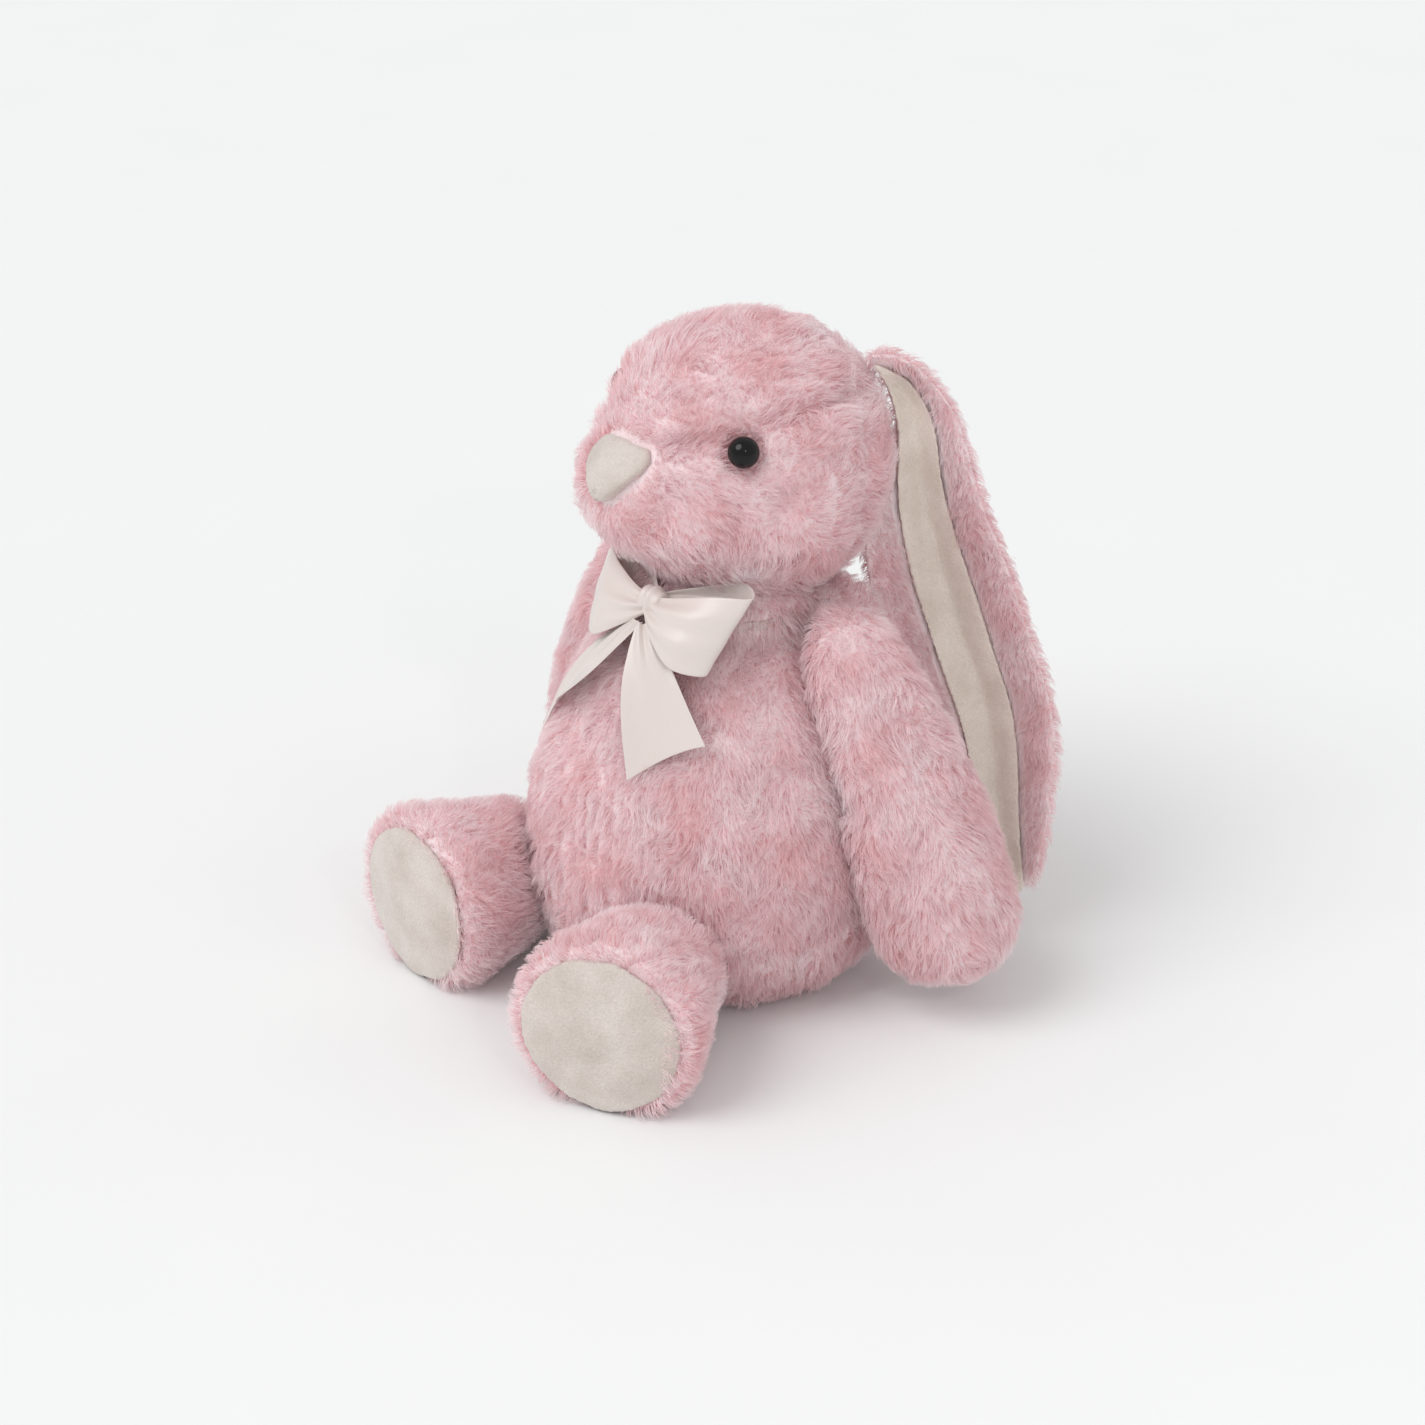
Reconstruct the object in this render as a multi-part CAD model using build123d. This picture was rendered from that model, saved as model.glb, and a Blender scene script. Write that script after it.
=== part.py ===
"""A seated stuffed bunny rabbit with hanging ears, a satin neck bow and velour foot soles.

Millimetres. The toy faces -Y, its own left is +X and +Z is up. The origin is on the floor, under the
middle of the seat. Every fabric cover is a closed skin WALL thick around its stuffing. Soft parts keep
SKIN_GAP from each other, and each moving part is trimmed so that it clears its neighbour over its travel.
"""
from build123d import *
from build123d.topology.shape_core import SkipClean

import os
from math import cos, degrees, hypot, radians, sin

# Driving dimensions
WALL = 2.0                 # plush backing and pile, pressed flat
SKIN_GAP = 1.0             # air between two soft parts that touch in the real toy
LAYER_GAP = 0.1            # air between a cover and what fills it
SEAM_GAP = 0.3             # air between two panels of one cover

TORSO_LEAN = 4.5           # degrees the body leans back
TORSO_SHIFT_Y = -2.0
TORSO_PROFILE = [(0, -7), (30, -5.5), (52, 1), (66, 13), (74, 31), (76.5, 54), (74, 78),
                 (67, 103), (57, 127), (46, 143), (31, 153), (14, 157.5), (0, 158.5)]
BELLY_ROOM = (56.0, 79.0)          # height and radius of a ball that holds the belly
SHOULDER_ROOM = [(80.5, 85.0), (42.0, 165.0)]   # (radius, height) of a cone that holds the upper body

HEAD_CENTRE = (0, 16.5, 212)
HEAD_TILT = 8.0            # degrees the nose points above the horizon
HEAD_TURN = -12.0          # degrees the whole head looks to the toy's own right
HEAD_PROFILE = [(0, -57), (22, -52.7), (40, -41), (52, -22), (56.5, 0), (54.5, 16), (49, 30.5),
                (40.5, 42), (28.5, 50.5), (14.5, 55), (0, 56.5)]
GUSSET_HALF_ANGLE = 26.0   # degrees each side of the crown, seen from the nose
HEAD_CUT_Z = 166.5         # the flat underside of the head, above the neck
HEAD_ROOM = 60.5           # a ball about the head's centre that holds the back of the head
NOSE_HALF_WIDTH = 21.0     # to the corners of the triangle before they are rounded
NOSE_HEIGHT = 22.5
NOSE_RISE = 8.0            # from the muzzle's axis up to the nose's top edge
NOSE_THICK = 3.5
EYE_POINT = (46.7, -11.3, 232.75)   # on a head that looks straight ahead
EYE_STAND_OFF = 0.6        # from the plush up to the back of the eye's dome
EYE_RADIUS = 6.0
EYE_DOME = 4.5
STEM_RADIUS = 2.0
STEM_LENGTH = 13.0
WASHER_RADIUS = 7.5
WASHER_THICK = 1.6

ARM_PIVOT = (58, 15, 150)
PAW_CENTRE = (97, 33, 46)
ARM_PROFILE = [(0, -15), (9, -12.5), (15.5, -5), (20, 7), (25, 30), (28.5, 61), (30, 89),
               (29, 113), (26, 126.7), (21, 134.4), (14, 140.1), (7, 143.1), (0, 144)]

HIP_HEIGHT = 33.5
LEG_PROFILE = [(0, -14), (14, -11), (23, -1), (27.5, 14), (31, 32), (36, 50), (38.5, 61), (37.5, 70)]
LEG_LENGTH = 72.0          # hip to the plane of the sole
SOLE_RADIUS = 32.5
SOLE_DOME = 4.5
LEFT_LEG = {"sole": (69, -119), "splay": 27.0}
RIGHT_LEG = {"sole": (-61, -107), "splay": -3.0}

EAR_OPEN = (0.70, -0.70, 0)     # the way the lining of the left ear faces
EAR_CHORD = (0.70, 0.70, 0)
EAR_SHELL = 6.0
EAR_LINING = 1.8
LINING_SHARE = 0.40             # of the ear's width
# centre x, y, z of each ear section, its half width and the depth of its lengthwise fold
EAR_STATIONS = [((31, 50, 246), 7, 4), ((38.5, 56.5, 240), 12, 8), ((46.5, 61.5, 227), 16, 11),
                ((49, 64.5, 198), 22, 14), ((55, 69.5, 163), 27, 16), ((63.5, 77, 128), 28, 16),
                ((72, 84.5, 94), 27, 14), ((76, 88, 61), 22, 10), ((79.5, 91.5, 36), 14, 6),
                ((82, 95, 22), 6, 2.5)]

NECK_CENTRE = (0, 8, 156)
BAND_RING_RADIUS = 36.0
BAND_RADIUS = 2.6
SEAM_RING_RADIUS = 32.6
SEAM_RADIUS = 0.6
RIBBON_WIDTH = 38.0
RIBBON_THICK = 0.8
KNOT_CENTRE = (5, -35, 165.5)
LOOP_LENGTH = 38.0
LOOP_DEPTH = 13.0
LOOP_PITCH = 36.0          # degrees the loops lean along the chest
LOOP_YAW = 12.0            # degrees each loop bends back round the neck
KNOT_HALF = (6.5, 4.5, 7.5)
LEFT_TAIL = [((8, -41.5, 156.5), 4), ((16, -44, 147), 11), ((24, -46.5, 134), 15.5), ((34, -54, 111), 17)]
RIGHT_TAIL = [((2, -41.5, 156.5), 4), ((-11, -45, 147), 11), ((-26, -46.5, 132), 15.5), ((-40, -51.5, 109), 17)]

TAIL_CENTRE = (0, 84, 30)
TAIL_RADIUS = 17.0
BAG_CENTRE = (0, 2, 22)
BAG_RADII = (46, 44, 15)
BAG_WALL = 0.8

RELIEF = 400.0             # larger than the toy, for half-space cutters


def inset(profile, depth):
    """The (radius, height) points of a profile moved inwards by depth, poles along the axis."""
    moved = []
    last = len(profile) - 1
    for i, (r, z) in enumerate(profile):
        before, after = profile[max(i - 1, 0)], profile[min(i + 1, last)]
        dr, dz = after[0] - before[0], after[1] - before[1]
        size = hypot(dr, dz)
        if r == 0:
            moved.append((0, z + (depth if i == 0 else -depth)))
        else:
            moved.append((r - depth * dz / size, z + depth * dr / size))
    return moved


def profile_curve(profile):
    """A smooth curve through (radius, height) points that crosses the axis squarely at each pole."""
    right = [(r, 0, z) for r, z in profile]
    left = [(-r, 0, z) for r, z in reversed(profile)]
    if profile[-1][0] == 0:
        curve = Spline(*right, *left[1:-1], periodic=True)
        return curve.trim(0, curve.param_at_point(right[-1]))
    curve = Spline(*left[:-1], *right)
    return curve.trim(right[0], right[-1])


def turned(profile):
    """A solid of revolution about Z, made of two halves so that no face closes on itself."""
    curve = profile_curve(profile)
    edges = [curve]
    end = (0, 0, profile[-1][1])
    if profile[-1][0] > 0:
        edges.append(Line(curve @ 1, end))
    edges.append(Line(end, curve @ 0))
    half = revolve(make_face(Curve() + edges), axis=Axis.Z, revolution_arc=180)
    return half + Rot(0, 0, 180) * half


def skin_sector(profile, start, arc):
    """The WALL thick skin of a solid of revolution, from angle start over arc degrees."""
    outer, inner = profile_curve(profile), profile_curve(inset(profile, WALL))
    face = make_face(Curve() + [outer, Line(outer @ 1, inner @ 1), inner, Line(inner @ 0, outer @ 0)])
    return Rot(0, 0, start) * revolve(face, axis=Axis.Z, revolution_arc=arc)


def at(origin, z_dir, shape, x_dir=None):
    """The shape with its own Z turned to z_dir and its origin moved to origin."""
    return Plane(origin=origin, x_dir=x_dir, z_dir=z_dir).location * shape


def above(z):
    """A block that fills everything above height z."""
    return Pos(0, 0, z + RELIEF / 2) * Box(RELIEF, RELIEF, RELIEF)


def below(z):
    """A block that fills everything below height z."""
    return Pos(0, 0, z - RELIEF / 2) * Box(RELIEF, RELIEF, RELIEF)


def mirrored(shape):
    """The same shape on the toy's other side."""
    return mirror(shape, about=Plane.YZ)


def ellipsoid(radii, grow=0.0):
    """An ellipsoid about the origin, its three radii made larger by grow."""
    return scale(Sphere(1), by=tuple(r + grow for r in radii))


# Torso

def leaning(shape):
    """A shape drawn on the body's own axis, moved to where the body leans."""
    return Pos(0, TORSO_SHIFT_Y, 0) * Rot(-TORSO_LEAN, 0, 0) * shape


def belly_room(gap):
    """A ball that holds the widest part of the body, with gap all round."""
    return leaning(Pos(0, 0, BELLY_ROOM[0]) * Sphere(BELLY_ROOM[1] + gap))


def shoulder_room(gap):
    """A cone that holds the narrowing upper body, with gap all round."""
    (low_r, low_z), (high_r, high_z) = SHOULDER_ROOM
    cone = Cone(low_r + gap, high_r + gap, high_z - low_z)
    return leaning(Pos(0, 0, (low_z + high_z) / 2) * cone)


def torso_parts():
    seam = degrees(SEAM_GAP / TORSO_PROFILE[5][0])
    front = leaning(skin_sector(TORSO_PROFILE, 180 + seam / 2, 180 - seam))
    back = leaning(skin_sector(TORSO_PROFILE, seam / 2, 180 - seam))
    filled = leaning(turned(inset(TORSO_PROFILE, WALL + LAYER_GAP)))
    return {
        "torso_front_panel": front & above(WALL + SEAM_GAP),
        "torso_back_panel": back & above(WALL + SEAM_GAP),
        "seat_base_panel": leaning(turned(TORSO_PROFILE)) & above(0) & below(WALL),
        "torso_stuffing": (filled & above(WALL + LAYER_GAP)) - Pos(*BAG_CENTRE) * ellipsoid(BAG_RADII, LAYER_GAP),
        "bean_bag_pouch": Pos(*BAG_CENTRE) * (ellipsoid(BAG_RADII) - ellipsoid(BAG_RADII, -BAG_WALL)),
        "bean_bag_pellets": Pos(*BAG_CENTRE) * ellipsoid(BAG_RADII, -BAG_WALL - LAYER_GAP),
    }


def tail_parts():
    """The round tail, hollowed where it sits against the back of the torso."""
    def ball(depth):
        return Pos(*TAIL_CENTRE) * Sphere(TAIL_RADIUS - depth) - belly_room(SKIN_GAP + depth)
    return {"tail_cover": ball(0) - ball(WALL), "tail_stuffing": ball(WALL + LAYER_GAP)}


# Head

def on_head(shape):
    """A shape drawn on the head's own axis (Z to the nose, Y up), moved to the head."""
    forward = (0, -cos(radians(HEAD_TILT)), sin(radians(HEAD_TILT)))
    return at(HEAD_CENTRE, forward, shape, x_dir=(1, 0, 0))


def eye_place(side):
    """Where an eye sits on the head, Z outwards. side is 1 for the left eye and -1 for the right."""
    x, y, z = EYE_POINT
    outward = Vector(side * x, y, z) - Vector(*HEAD_CENTRE)
    return Plane(origin=(side * x, y, z), z_dir=outward).location


def safety_eye():
    """Domed button with a flat back at z 0 and a stem behind it, in one moulding."""
    ball_radius = (EYE_RADIUS**2 + EYE_DOME**2) / (2 * EYE_DOME)
    dome = (Pos(0, 0, EYE_DOME - ball_radius) * Sphere(ball_radius)) & above(0)
    return dome + Pos(0, 0, -STEM_LENGTH / 2) * Cylinder(STEM_RADIUS, STEM_LENGTH + 0.02)


def head_parts():
    seam = degrees(SEAM_GAP / HEAD_PROFILE[4][0])
    side_arc = 180 - GUSSET_HALF_ANGLE - seam
    chin = -90 + seam / 2
    parts = {
        "head_gusset": skin_sector(HEAD_PROFILE, 90 - GUSSET_HALF_ANGLE, 2 * GUSSET_HALF_ANGLE),
        "head_side_left": skin_sector(HEAD_PROFILE, chin, side_arc),
        "head_side_right": skin_sector(HEAD_PROFILE, -180 - chin - side_arc, side_arc),
        "head_stuffing": turned(inset(HEAD_PROFILE, WALL + LAYER_GAP)),
    }
    parts = {name: on_head(shape) & above(HEAD_CUT_Z) for name, shape in parts.items()}
    pocket_top = -WALL - EYE_STAND_OFF - 0.3
    pocket_depth = STEM_LENGTH + pocket_top + 1.0
    for name, side in (("left", 1), ("right", -1)):
        place = eye_place(side)
        stem_hole = place * (Pos(0, 0, -STEM_LENGTH / 2) * Cylinder(STEM_RADIUS + 0.3, STEM_LENGTH + 12))
        seat = place * (Pos(0, 0, 3) * Cylinder(EYE_RADIUS + 0.3, 6.2))
        pocket = Pos(0, 0, pocket_top - pocket_depth / 2) * Cylinder(WASHER_RADIUS + 0.5, pocket_depth + 3)
        washer = Cylinder(WASHER_RADIUS, WASHER_THICK) - Cylinder(STEM_RADIUS + 0.05, 3 * WASHER_THICK)
        parts[f"eye_{name}"] = place * safety_eye()
        parts[f"eye_washer_{name}"] = place * (Pos(0, 0, pocket_top - 1.5 - WASHER_THICK) * washer)
        parts[f"head_side_{name}"] = parts[f"head_side_{name}"] - stem_hole - seat
        parts["head_stuffing"] -= place * pocket
    parts["nose_patch"] = nose()
    centre = Pos(*HEAD_CENTRE)
    return {name: centre * Rot(0, 0, HEAD_TURN) * centre.inverse() * shape for name, shape in parts.items()}


def nose():
    """A padded velour triangle, point down, lying on the front of the muzzle."""
    corner = 5.0
    outline = Polygon((-NOSE_HALF_WIDTH, 0), (NOSE_HALF_WIDTH, 0), (0, -NOSE_HEIGHT), align=None)
    outline = fillet(outline.vertices(), corner)
    prism = Pos(0, NOSE_RISE, 0) * extrude(outline, 100, dir=(0, 0, 1))
    pad = turned(inset(HEAD_PROFILE, -NOSE_THICK)) - turned(inset(HEAD_PROFILE, -LAYER_GAP))
    return on_head(pad & prism)


# Ears

def unit(v):
    return Vector(*v).normalized()


def ear_frames():
    """One plane per ear section: X across the ear, Y the way the lining faces, Z along the ear."""
    centres = [Vector(*c) for c, _, _ in EAR_STATIONS]
    frames = []
    for i, centre in enumerate(centres):
        ahead, behind = centres[min(i + 1, len(centres) - 1)], centres[max(i - 1, 0)]
        along = (ahead - behind).normalized()
        across = unit(EAR_CHORD)
        across = (across - along * across.dot(along)).normalized()
        facing = along.cross(across)
        if facing.dot(unit(EAR_OPEN)) < 0:
            across = across * -1
        frames.append(Plane(origin=centre, x_dir=across, z_dir=along))
    return frames


def band(half, fold, low, high, share):
    """A folded strip of one ear section, between two offsets from the fold line, as a face."""
    half = half * share
    fold = fold * share**2
    rim, valley = 0.0, -fold
    inner = ThreePointArc((-half, rim + high), (0, valley + high), (half, rim + high))
    outer = ThreePointArc((-half, rim + low), (0, valley + low), (half, rim + low))
    ends = [Line((s * half, rim + low), (s * half, rim + high)) for s in (-1, 1)]
    return make_face(Curve() + [inner, outer] + ends)


def ear_solid(low, high, share):
    faces = []
    for frame, (_, half, fold) in zip(ear_frames(), EAR_STATIONS):
        base = fold * (share**2 - 1)
        faces.append(frame.location * (Pos(0, base, 0) * band(half, fold, low, high, share)))
    return loft(faces)


def ear_parts():
    """The left ear: a plush outer shell folded lengthwise and a velour lining in the fold."""
    head_room = Pos(*HEAD_CENTRE) * Sphere(HEAD_ROOM)
    return {"shell": ear_solid(-EAR_SHELL, 0, 1.0) - head_room,
            "lining": ear_solid(LAYER_GAP, LAYER_GAP + EAR_LINING, LINING_SHARE) - head_room}


# Arms and legs

def arm_parts():
    """The left arm's two plush panels and its stuffing, open where the arm is sewn against the body."""
    direction = Vector(*PAW_CENTRE) - Vector(*ARM_PIVOT)
    seam = degrees(SEAM_GAP / ARM_PROFILE[6][0])

    def placed(shape):
        limb = at(ARM_PIVOT, direction, shape, x_dir=(0, -1, 0))
        return limb - belly_room(SKIN_GAP) - shoulder_room(SKIN_GAP)

    return {"outer_panel": placed(skin_sector(ARM_PROFILE, 180 + seam / 2, 180 - seam)),
            "inner_panel": placed(skin_sector(ARM_PROFILE, seam / 2, 180 - seam)),
            "stuffing": placed(turned(inset(ARM_PROFILE, WALL + LAYER_GAP)))}


def leg_parts(leg):
    """One leg: a plush sleeve, a domed velour sole closing its end, and the stuffing."""
    splay = radians(leg["splay"])
    direction = Vector(sin(splay), -cos(splay), 0)
    root = Vector(*leg["sole"], HIP_HEIGHT) - direction * LEG_LENGTH
    mouth = LEG_PROFILE[-1][1]

    def form(depth, overrun):
        profile = inset(LEG_PROFILE, depth)
        profile[-1] = (profile[-1][0], mouth + overrun)
        return (at(root, direction, turned(profile)) - belly_room(SKIN_GAP + depth)) & above(depth)

    cap_radius = (SOLE_RADIUS**2 + SOLE_DOME**2) / (2 * SOLE_DOME)
    sole = Pos(0, 0, LEG_LENGTH + SOLE_DOME - cap_radius) * Sphere(cap_radius)
    sole &= above(mouth + LAYER_GAP)
    sole &= Pos(0, 0, mouth) * Cylinder(SOLE_RADIUS, 40)
    return {"cover": form(0, 0) - form(WALL, 3),
            "stuffing": form(WALL + LAYER_GAP, 0),
            "sole": at(root, direction, sole)}


# Ribbon

def loop_solid(side):
    """A bow loop: a teardrop band of ribbon, gathered at the knot and full width at its outer fold."""
    reach, depth = LOOP_LENGTH, LOOP_DEPTH / 2
    plan = [(0, 0), (reach * 0.45, depth * 0.8), (reach * 0.8, depth), (reach, 0)]

    def teardrop(trim):
        top = [(x, max(y - trim, 0)) if 0 < x < reach else (abs(x - trim), 0) for x, y in plan]
        upper = Spline(*top, tangents=[(1, 0.5), (0, -1)])
        return make_face(Curve() + [upper, mirror(upper, about=Plane.XZ)])

    ring = teardrop(0) - teardrop(RIBBON_THICK)
    band_solid = extrude(ring, RIBBON_WIDTH / 2, both=True)
    gathered = Polygon((0, -5), (reach, -RIBBON_WIDTH / 2), (reach + 5, -RIBBON_WIDTH / 2),
                       (reach + 5, RIBBON_WIDTH / 2), (reach, RIBBON_WIDTH / 2), (0, 5), align=None)
    wedge = extrude(Plane.XZ * gathered, 40, both=True)
    loop = Rot(0, 0, LOOP_YAW) * Pos(KNOT_HALF[0] + 0.3, 0, 0) * (band_solid & wedge)
    if side < 0:
        loop = mirrored(loop)
    return Pos(*KNOT_CENTRE) * Rot(-LOOP_PITCH, 0, 0) * loop


def tail_ribbon(stations):
    """A ribbon tail lying over the chest, as a loft of thin strips."""
    faces = []
    last = len(stations) - 1
    for i, (centre, half) in enumerate(stations):
        ahead, behind = Vector(*stations[min(i + 1, last)][0]), Vector(*stations[max(i - 1, 0)][0])
        along = (ahead - behind).normalized()
        outward = Vector(centre[0], centre[1] - NECK_CENTRE[1], 0).normalized()
        across = along.cross(outward).normalized()
        frame = Plane(origin=centre, x_dir=across, z_dir=along)
        faces.append(frame.location * Rectangle(2 * half, RIBBON_THICK))
    return loft(faces)


def ribbon_parts():
    seat = Pos(*KNOT_CENTRE) * Rot(-LOOP_PITCH, 0, 0)
    knot = seat * ellipsoid(KNOT_HALF)
    band_ring = Pos(*NECK_CENTRE) * Torus(BAND_RING_RADIUS, BAND_RADIUS)
    knot_room = seat * ellipsoid(KNOT_HALF, 0.3)
    return {
        "neck_seam_thread": Pos(*NECK_CENTRE) * Torus(SEAM_RING_RADIUS, SEAM_RADIUS),
        "ribbon_neck_band": band_ring - knot_room,
        "bow_knot": knot,
        "bow_loop_left": loop_solid(1),
        "bow_loop_right": loop_solid(-1),
        "bow_tail_left": tail_ribbon(LEFT_TAIL) - knot_room,
        "bow_tail_right": tail_ribbon(RIGHT_TAIL) - knot_room,
    }


def assembly():
    parts = {**torso_parts(), **tail_parts(), **head_parts(), **ribbon_parts()}
    for kind, made in (("ear", ear_parts()), ("arm", arm_parts())):
        for name, shape in made.items():
            parts[f"{kind}_left_{name}"] = shape
            parts[f"{kind}_right_{name}"] = mirrored(shape)
    for side, leg in (("left", LEFT_LEG), ("right", RIGHT_LEG)):
        made = leg_parts(leg)
        parts[f"leg_{side}_cover"] = made["cover"]
        parts[f"leg_{side}_stuffing"] = made["stuffing"]
        parts[f"foot_sole_{side}"] = made["sole"]
    return parts


os.makedirs("parts", exist_ok=True)
with SkipClean():
    for node, shape in assembly().items():
        export_step(shape, f"parts/{node}.step")
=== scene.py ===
"""The looks of a seated plush rabbit: fur, velour, satin bow, glossy eyes, and a pale studio.

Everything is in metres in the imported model's frame: the rabbit faces -Y, its own left is +X, +Z is up.
Each plush part is one closed skin made from its CAD solid by voxel remeshing. The head, body, arms and
legs are then swelled by cloth pressure, and the ears are folded lengthwise. Short hair strands grow
from every skin and ride on the same body.
"""
import math

import bmesh
import bpy
import numpy as np
from mathutils import Matrix, Vector, kdtree
from mathutils.bvhtree import BVHTree


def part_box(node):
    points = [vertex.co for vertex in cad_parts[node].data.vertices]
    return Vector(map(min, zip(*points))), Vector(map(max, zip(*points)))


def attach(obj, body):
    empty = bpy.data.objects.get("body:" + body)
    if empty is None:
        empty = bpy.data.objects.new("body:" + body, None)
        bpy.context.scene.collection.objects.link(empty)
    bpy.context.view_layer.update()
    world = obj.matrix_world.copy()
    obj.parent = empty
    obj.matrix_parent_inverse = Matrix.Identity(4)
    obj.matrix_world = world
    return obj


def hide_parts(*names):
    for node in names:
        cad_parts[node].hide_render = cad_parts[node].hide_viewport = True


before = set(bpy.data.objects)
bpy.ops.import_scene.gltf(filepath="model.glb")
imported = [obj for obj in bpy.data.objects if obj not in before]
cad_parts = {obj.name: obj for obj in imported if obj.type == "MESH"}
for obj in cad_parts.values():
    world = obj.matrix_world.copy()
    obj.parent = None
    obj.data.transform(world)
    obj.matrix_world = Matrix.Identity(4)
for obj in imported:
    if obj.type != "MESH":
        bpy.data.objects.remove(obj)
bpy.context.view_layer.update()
MM = 0.001
SIDES = (1, -1)                 # the rabbit's left, then its right
UP = Vector((0, 0, 1))

# Driving values: the skins
SKIN_VOXEL = 3.4 * MM
EAR_VOXEL = 2.2 * MM
SOLE_VOXEL = 1.3 * MM
LINING_VOXEL = 0.9 * MM
NOSE_VOXEL = 0.8 * MM
PUFF_FRAMES = 20
PUFF_PRESSURE = 4.0
PUFF_CAP = 3.0 * MM             # the furthest that pressure may move a point
RUFFLE = 0.5 * MM               # height of the streaks in the skin under the fur
EAR_RUFFLE = 0.3 * MM

# Driving values: the fur
PILE = 8.5 * MM                 # length of the fur on the body
PILE_DENSITY = 1.15e6           # strands per square metre
PILE_LEAN = 0.78                # 0 stands straight up, 1 lies flat
STRAND_POINTS = 5
STRAND_STEPS = np.linspace(0, 1, STRAND_POINTS)
STRAND_ROOT = 0.12 * MM
STRAND_TIP = 0.035 * MM
CLUMP_CELL = 3.4 * MM
CELL_PRIMES = (73856093, 19349663, 83492791)
LOWEST_STRAND = 0.4 * MM        # height over the floor

# Driving values: where the fur stops
SEAT_CLEARANCE = 3 * MM
EYE_CLEARANCE = 8.0 * MM
NOSE_CLEARANCE = 2.2 * MM
LINING_CLEARANCE = 3.0 * MM
SOLE_RIM = 29.5 * MM
SOLE_DEPTH = 8 * MM

# Driving values: the ribbon
RIBBON_HALF = 17.5 * MM
RIBBON_THICKNESS = 0.5 * MM
RIBBON_COLUMNS = 25
RIBBON_STEPS = 60
PLEAT_HEIGHT = 1.1 * MM

# Driving values: the studio
CAMERA_AZIMUTH = 48.0
CAMERA_ELEVATION = 25.0
CAMERA_DISTANCE = 1.3
CAMERA_LENS = 82.1
CAMERA_SENSOR = 36.0
CAMERA_TARGET = Vector((0, 0, 0.106))
FLOOR_SIZE = 14
WORLD_STRENGTH = 0.72
SUN_ENERGY = 1.15
SUN_SPREAD = 38
SUN_TURN = (38, -14, 8)
CATCHLIGHT_POWER = 0.9
CATCHLIGHT_SIZE = 0.07
CATCHLIGHT_PLACE = (1.0, -0.5, 0.85)
CATCHLIGHT_TARGET = Vector((0, 0, 0.2))


# Small helpers

def srgb(r, g, b):
    """A linear colour from 0-255 sRGB values."""
    def linear(c):
        c /= 255.0
        return c / 12.92 if c <= 0.04045 else ((c + 0.055) / 1.055) ** 2.4
    return (linear(r), linear(g), linear(b), 1.0)


FUR_TIP = srgb(255, 249, 250)
FUR_MID = srgb(254, 238, 241)
FUR_ROOT = srgb(243, 203, 206)
CREAM = srgb(245, 237, 226)
CREAM_SHADE = srgb(230, 218, 205)
SOLE_TONE = srgb(216, 206, 199)
SOLE_SHADE = srgb(200, 188, 179)
SATIN = srgb(228, 218, 213)
SATIN_SHADE = srgb(212, 200, 194)
EYE_BLACK = srgb(7, 6, 8)
FLOOR_DARK = srgb(241, 242, 242)
FLOOR_LIGHT = srgb(244, 245, 245)


def spot(node, u, v, w):
    """The point at fractions u, v, w of the way through a CAD node's box."""
    low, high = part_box(node)
    return Vector((low.x + u * (high.x - low.x), low.y + v * (high.y - low.y), low.z + w * (high.z - low.z)))


def middle_of(node):
    """The middle of a CAD node's box."""
    low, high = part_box(node)
    return (low + high) / 2


def side_name(side):
    return "left" if side > 0 else "right"


def points_of(obj):
    """The mesh's points, one row each."""
    co = np.empty(len(obj.data.vertices) * 3)
    obj.data.vertices.foreach_get("co", co)
    return co.reshape(-1, 3)


def normals_of(obj):
    """The mesh's normal at each point, one row each."""
    obj.data.update()
    normal = np.empty(len(obj.data.vertices) * 3)
    obj.data.vertices.foreach_get("normal", normal)
    return normal.reshape(-1, 3)


def set_points(obj, co):
    """Moves the mesh's points to the rows of co."""
    obj.data.vertices.foreach_set("co", np.ascontiguousarray(co, dtype=np.float32).ravel())
    obj.data.update()


def unit_rows(v):
    return v / np.maximum(np.linalg.norm(v, axis=1, keepdims=True), 1e-12)


def flattened(direction, normal):
    """Each direction laid flat against the surface, at unit length."""
    return unit_rows(direction - normal * np.sum(direction * normal, axis=1, keepdims=True))


def waves(co, scale, seed, count=7):
    """Smooth noise: three values between about -1 and 1 for each point, varying over about scale metres."""
    rng = np.random.default_rng(seed)
    total = np.zeros((len(co), 3))
    for _ in range(count):
        direction = rng.normal(size=3)
        direction /= np.linalg.norm(direction)
        phase = co @ direction * (2 * math.pi / (scale * rng.uniform(0.7, 1.6))) + rng.uniform(0, 6.28)
        total += np.sin(phase)[:, None] * rng.normal(size=3)
    return total / math.sqrt(count)


def link(name, data):
    """A new object in the scene from a mesh, a light or other data."""
    obj = bpy.data.objects.new(name, data)
    bpy.context.scene.collection.objects.link(obj)
    return obj


def link_bmesh(name, bm):
    """A new mesh object from a bmesh, which is used up."""
    mesh = bpy.data.meshes.new(name)
    bm.to_mesh(mesh)
    bm.free()
    return link(name, mesh)


def shade_smooth(obj):
    obj.data.polygons.foreach_set("use_smooth", np.ones(len(obj.data.polygons), dtype=bool))


def bake(obj):
    """Applies the object's modifiers to its mesh."""
    bpy.context.view_layer.update()
    graph = bpy.context.evaluated_depsgraph_get()
    mesh = bpy.data.meshes.new_from_object(obj.evaluated_get(graph))
    obj.modifiers.clear()
    obj.data = mesh
    shade_smooth(obj)


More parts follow.
